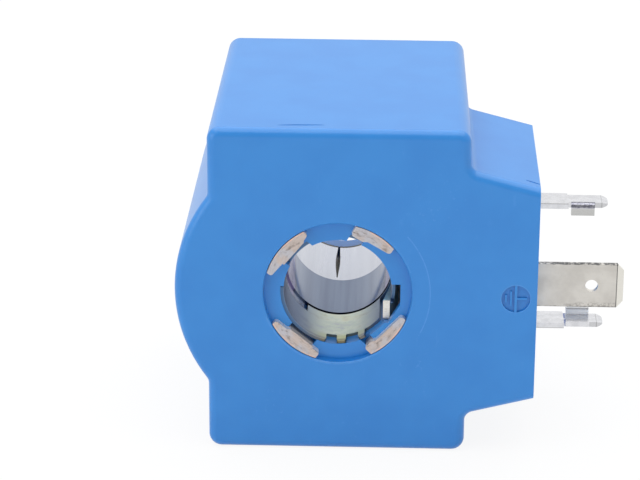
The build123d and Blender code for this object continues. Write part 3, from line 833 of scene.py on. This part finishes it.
def earthFinish():  # nickelled strip with chipped edges, and a bevel painted brighter as a highlight with painted shade along its crease
    look = earthLook
    finish = Finish("nickelledSteel")
    x, y, z = finish.axes()
    spot = finish.place()
    below = -1 * z
    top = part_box("earth_terminal")[1].z / mm
    lines = finish.noise(finish.stretched((x, y, z), look["lineStretch"]), 1.0, 4.0, 0.6)
    clouds = finish.noise(spot, look["cloudSize"])
    chips = finish.noise(finish.stretched((x, y, z), look["chipStretch"]), 1.0, 5.0, 0.7)
    marks = finish.noise(finish.stretched((x, y, z), look["markStretch"]), 1.0, 5.0, 0.75)
    specks = finish.ease(finish.noise(spot, look["speckSize"], 3.0, 0.6), *look["speckRange"])
    rim = finish.ease(z - top + look["topChip"] * chips, *look["topRange"])
    lower = finish.ease(below - top + look["lowChip"] * chips, *look["lowRange"])
    rubbed = finish.ease(marks, *look["markRange"]) * finish.ease(below, *look["markHeight"])
    rubbed = rubbed * finish.ease(x, *look["markFrom"])
    # painted shade along the bevel's crease
    line = within(x, look["bevelStart"] - 0.12, look["bevelStart"] + 0.02)
    dark = specks * look["speckShare"] + lower * look["chipShare"] + rubbed * look["markShare"]
    colour = finish.mix(finish.ease(clouds, *look["cloudRange"]), look["dull"], look["face"])
    colour = finish.mix(dark, colour, look["mark"])
    # painted highlight on the bevel
    colour = finish.mix(x > look["bevelStart"], colour, look["bevel"])
    colour = finish.mix(line * look["lineShare"] + rim, colour, look["sheared"])
    rough = look["rough"] + look["lineRough"] * lines
    normal = finish.bump(lines - rim * 2 * chips, look["lineHeight"])
    return finish.set(colour=colour, rough=rough, metal=1.0, normal=normal)


brassLook = {"tint": (0.72, 0.52, 0.22, 1), "shade": (0.55, 0.38, 0.15, 1), "rough": 0.3}
solderLook = {"tint": (0.66, 0.66, 0.68, 1), "shade": (0.52, 0.52, 0.55, 1), "rough": 0.38}
plainGrain = {"size": 1.5, "height": 1e-5, "rough": 0.15}


def plainMetal(name, look):
    finish = Finish(name)
    clouds = finish.noise(finish.place(), plainGrain["size"], 4.0)
    colour = finish.mix(clouds, look["shade"], look["tint"])
    rough = look["rough"] + plainGrain["rough"] * clouds
    return finish.set(colour=colour, rough=rough, metal=1.0, normal=finish.bump(clouds, plainGrain["height"]))


sleeveLook = {
    "tint": (0.66, 0.63, 0.55, 1),
    "shade": (0.55, 0.52, 0.44, 1),
    "weaveSize": 6.0,
    "weaveHeight": 5e-6,
    "weaveRough": 0.1,
    "rough": 0.6,
}


def rubberFinish():
    look = sleeveLook
    finish = Finish("siliconeSleeve")
    weave = finish.noise(finish.place(), look["weaveSize"], 2.0)
    colour = finish.mix(weave, look["shade"], look["tint"])
    rough = look["rough"] + look["weaveRough"] * weave
    return finish.set(colour=colour, rough=rough, normal=finish.bump(weave, look["weaveHeight"]))


finishes = {
    "housing_plastic": housingFinish(),
    "bobbin_plastic": nylonFinish(),
    "copper_wire": wireFinish(),
    "amber_tape": tapeFinish(),
    "yoke_steel": stripFinish(),
    "sheared_steel": lugFinish(),
    "bright_steel": rearFinish(),
    "polished_steel": linerFinish(),
    "chromated_steel": chromateFinish(),
    "spring_steel": tongueFinish(),
    "tinned_brass": tinFinish(),
    "nickel_steel": earthFinish(),
    "rivet_brass": plainMetal("rivetBrass", brassLook),
    "sleeve_rubber": rubberFinish(),
    "solder": plainMetal("dullSolder", solderLook),
}


def dress(obj, material):
    obj.data.materials.clear()
    obj.data.materials.append(material)


for part in frame["record"]["subparts"]:
    dress(nodes[part["node"]], finishes[part["material_slot"]])
print("finishes on", len(nodes), "nodes")


def meshPiece(bm, name):
    mesh = bpy.data.meshes.new(name)
    bm.to_mesh(mesh)
    bm.free()
    return link(bpy.data.objects.new(name, mesh))


def cutBy(piece, cutter):  # cuts at once and drops the cutter
    cut = piece.modifiers.new("cut", "BOOLEAN")
    cut.object = cutter
    cut.operation = "DIFFERENCE"
    cut.solver = "EXACT"
    bpy.context.view_layer.update()
    settled = piece.evaluated_get(bpy.context.evaluated_depsgraph_get())
    mesh = bpy.data.meshes.new_from_object(settled)
    piece.modifiers.clear()
    spare = piece.data
    piece.data = mesh
    mesh.name = piece.name
    bpy.data.meshes.remove(spare)
    bpy.data.objects.remove(cutter)


meshCare = {
    "weldDistance": 1e-7,  # m
    "sharpFrom": 24,  # degrees between faces
    "flatWeight": 100,  # large faces set the shading of the small ones beside them
}


def weld(bm):
    bmesh.ops.remove_doubles(bm, verts=bm.verts, dist=meshCare["weldDistance"])


def mergedCopy(node, name):
    bm = bmesh.new()
    bm.from_mesh(nodes[node].data)
    weld(bm)
    return meshPiece(bm, name)


def fineShading(piece):  # round faces smooth, corners sharp
    sharp = math.radians(meshCare["sharpFrom"])
    bm = bmesh.new()
    bm.from_mesh(piece.data)
    weld(bm)
    for face in bm.faces:
        face.smooth = True
    for edge in bm.edges:
        edge.smooth = len(edge.link_faces) == 2 and edge.calc_face_angle(0) < sharp
    bm.to_mesh(piece.data)
    bm.free()
    even = piece.modifiers.new("evenShading", "WEIGHTED_NORMAL")
    even.keep_sharp = True
    even.weight = meshCare["flatWeight"]


def boxTool(name, low, high):  # corners in mm
    bm = bmesh.new()
    bmesh.ops.create_cube(bm, size=1.0)
    size = [b - a for a, b in zip(low, high)]
    middle = [(a + b) / 2 for a, b in zip(low, high)]
    bmesh.ops.scale(bm, verts=bm.verts, vec=Vector(size) * mm)
    bmesh.ops.translate(bm, verts=bm.verts, vec=Vector(middle) * mm)
    return meshPiece(bm, name)


def earthSignTool():  # the hollow of the sign, with its bars left standing
    across, up = earthSign["middle"]
    radius = earthSign["radius"] * mm
    sides = earthSign["sides"]
    bm = bmesh.new()
    bmesh.ops.create_cone(bm, cap_ends=True, segments=sides, radius1=radius, radius2=radius, depth=mm)
    bmesh.ops.rotate(bm, verts=bm.verts, matrix=Matrix.Rotation(math.radians(90), 3, "X"))
    centre = Vector((across, frontFace - 0.5 + earthSign["depth"], up)) * mm
    bmesh.ops.translate(bm, verts=bm.verts, vec=centre)
    tool = meshPiece(bm, "signTool")
    for (left, low), (right, high) in earthSign["bars"]:
        nearFace = frontFace + earthSign["barSink"]
        bar = boxTool("bar", (across + left, nearFace, up + low), (across + right, frontFace + 1, up + high))
        cutBy(tool, bar)
    return tool


nicks = [  # the moulding's small scars: both ends, half width and depth in mm, and the face's direction
    ((-8.5, -19.84, 23.5), (-1.9, -19.51, 23.5), 0.24, 0.17, (0, 0, 1)),
    ((25.3, -19.2, 16.02), (27.5, -19.53, 15.45), 0.20, 0.20, (0.251, 0, 0.968)),
]


def nickTool(start, end, width, depth, facing):
    start = Vector(start)
    along = Vector(end) - start
    bm = bmesh.new()
    bmesh.ops.create_icosphere(bm, subdivisions=3, radius=mm)
    bmesh.ops.scale(bm, verts=bm.verts, vec=(along.length / 2, width, depth))
    facing = Vector(facing)
    across = facing.cross(along).normalized()
    turn = Matrix((along.normalized(), across, facing)).transposed()
    bmesh.ops.rotate(bm, verts=bm.verts, matrix=turn)
    bmesh.ops.translate(bm, verts=bm.verts, vec=(start + along / 2) * mm)
    return meshPiece(bm, "nickTool")


def makeHousing():
    housing = mergedCopy("housing", "mouldedHousing")
    cutBy(housing, earthSignTool())
    for nick in nicks:
        cutBy(housing, nickTool(*nick))
    fineShading(housing)
    dress(housing, finishes["housing_plastic"])
    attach(housing, "coil")
    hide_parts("housing")


makeHousing()
print("housing cut and shaded")


studio = {
    "skyStrength": 0.575,
    "frontShade": 0.42,  # how dark metal sees the room behind the camera
    "frontSpan": (0.15, 0.9),
    "lamps": {  # watts, width and place in m
        "softBox": (46.0, 3.0, (0.0, 0.3, 1.7)),
        "sideFill": (4.0, 0.9, (-1.25, -0.75, 0.40)),
    },
    "white": (1, 1, 1, 1),
    "floorColour": (0.88, 0.88, 0.88, 1),
    "floorRough": 0.9,
    "floorGlow": 0.90,
    "floorSize": 12.0,
}


def seenRays(finish):  # 1 for what the camera sees, also in metal and through gaps
    rays = finish.node("ShaderNodeLightPath").socket.node
    kinds = ("Is Camera Ray", "Is Glossy Ray", "Is Transmission Ray")
    camera, glossy, through = [Signal(finish, rays.outputs[kind]) for kind in kinds]
    return finish.node("ShaderNodeMath", {"operation": "MINIMUM"}, {0: camera + glossy + through, 1: 1.0})


def lightStudio():
    world = bpy.data.worlds.new("studioAir")
    bpy.context.scene.world = world
    world.use_nodes = True
    air = Finish("air", world.node_tree)
    sky = studio["skyStrength"]
    spot = air.node("ShaderNodeTexCoord")
    toCamera = air.node("ShaderNodeSeparateXYZ", {}, {0: spot}, 1) * -1
    shade = air.ease(toCamera, *studio["frontSpan"]) * studio["frontShade"]
    level = sky + (1.0 - shade - sky) * seenRays(air)
    glow = air.node("ShaderNodeBackground", {}, {0: studio["white"], 1: level})
    air.feed(world.node_tree.nodes["World Output"].inputs[0], glow)
    for name, (power, size, place) in studio["lamps"].items():
        data = bpy.data.lights.new(name, "AREA")
        data.energy = power
        data.size = size
        lamp = link(bpy.data.objects.new(name, data))
        lamp.location = place
        lamp.rotation_euler = Vector(place).to_track_quat("Z", "Y").to_euler()


def layFloor():
    bm = bmesh.new()
    bmesh.ops.create_grid(bm, x_segments=1, y_segments=1, size=studio["floorSize"] / 2)
    bmesh.ops.translate(bm, verts=bm.verts, vec=(0, 0, cadBounds[0][2]))
    floor = meshPiece(bm, "studioFloor")
    finish = Finish("paleFloor")
    finish.set(colour=studio["floorColour"], rough=studio["floorRough"])
    glow = finish.node("ShaderNodeEmission", {}, {0: studio["white"], 1: 1.0})
    both = finish.node("ShaderNodeMixShader", {}, {0: seenRays(finish) * studio["floorGlow"], 2: glow})
    finish.tree.links.new(finish.shader.outputs[0], both.socket.node.inputs[1])
    finish.feed(finish.tree.nodes["Material Output"].inputs[0], both)
    floor.data.materials.append(finish.material)


lightStudio()
layFloor()
print("studio lit")
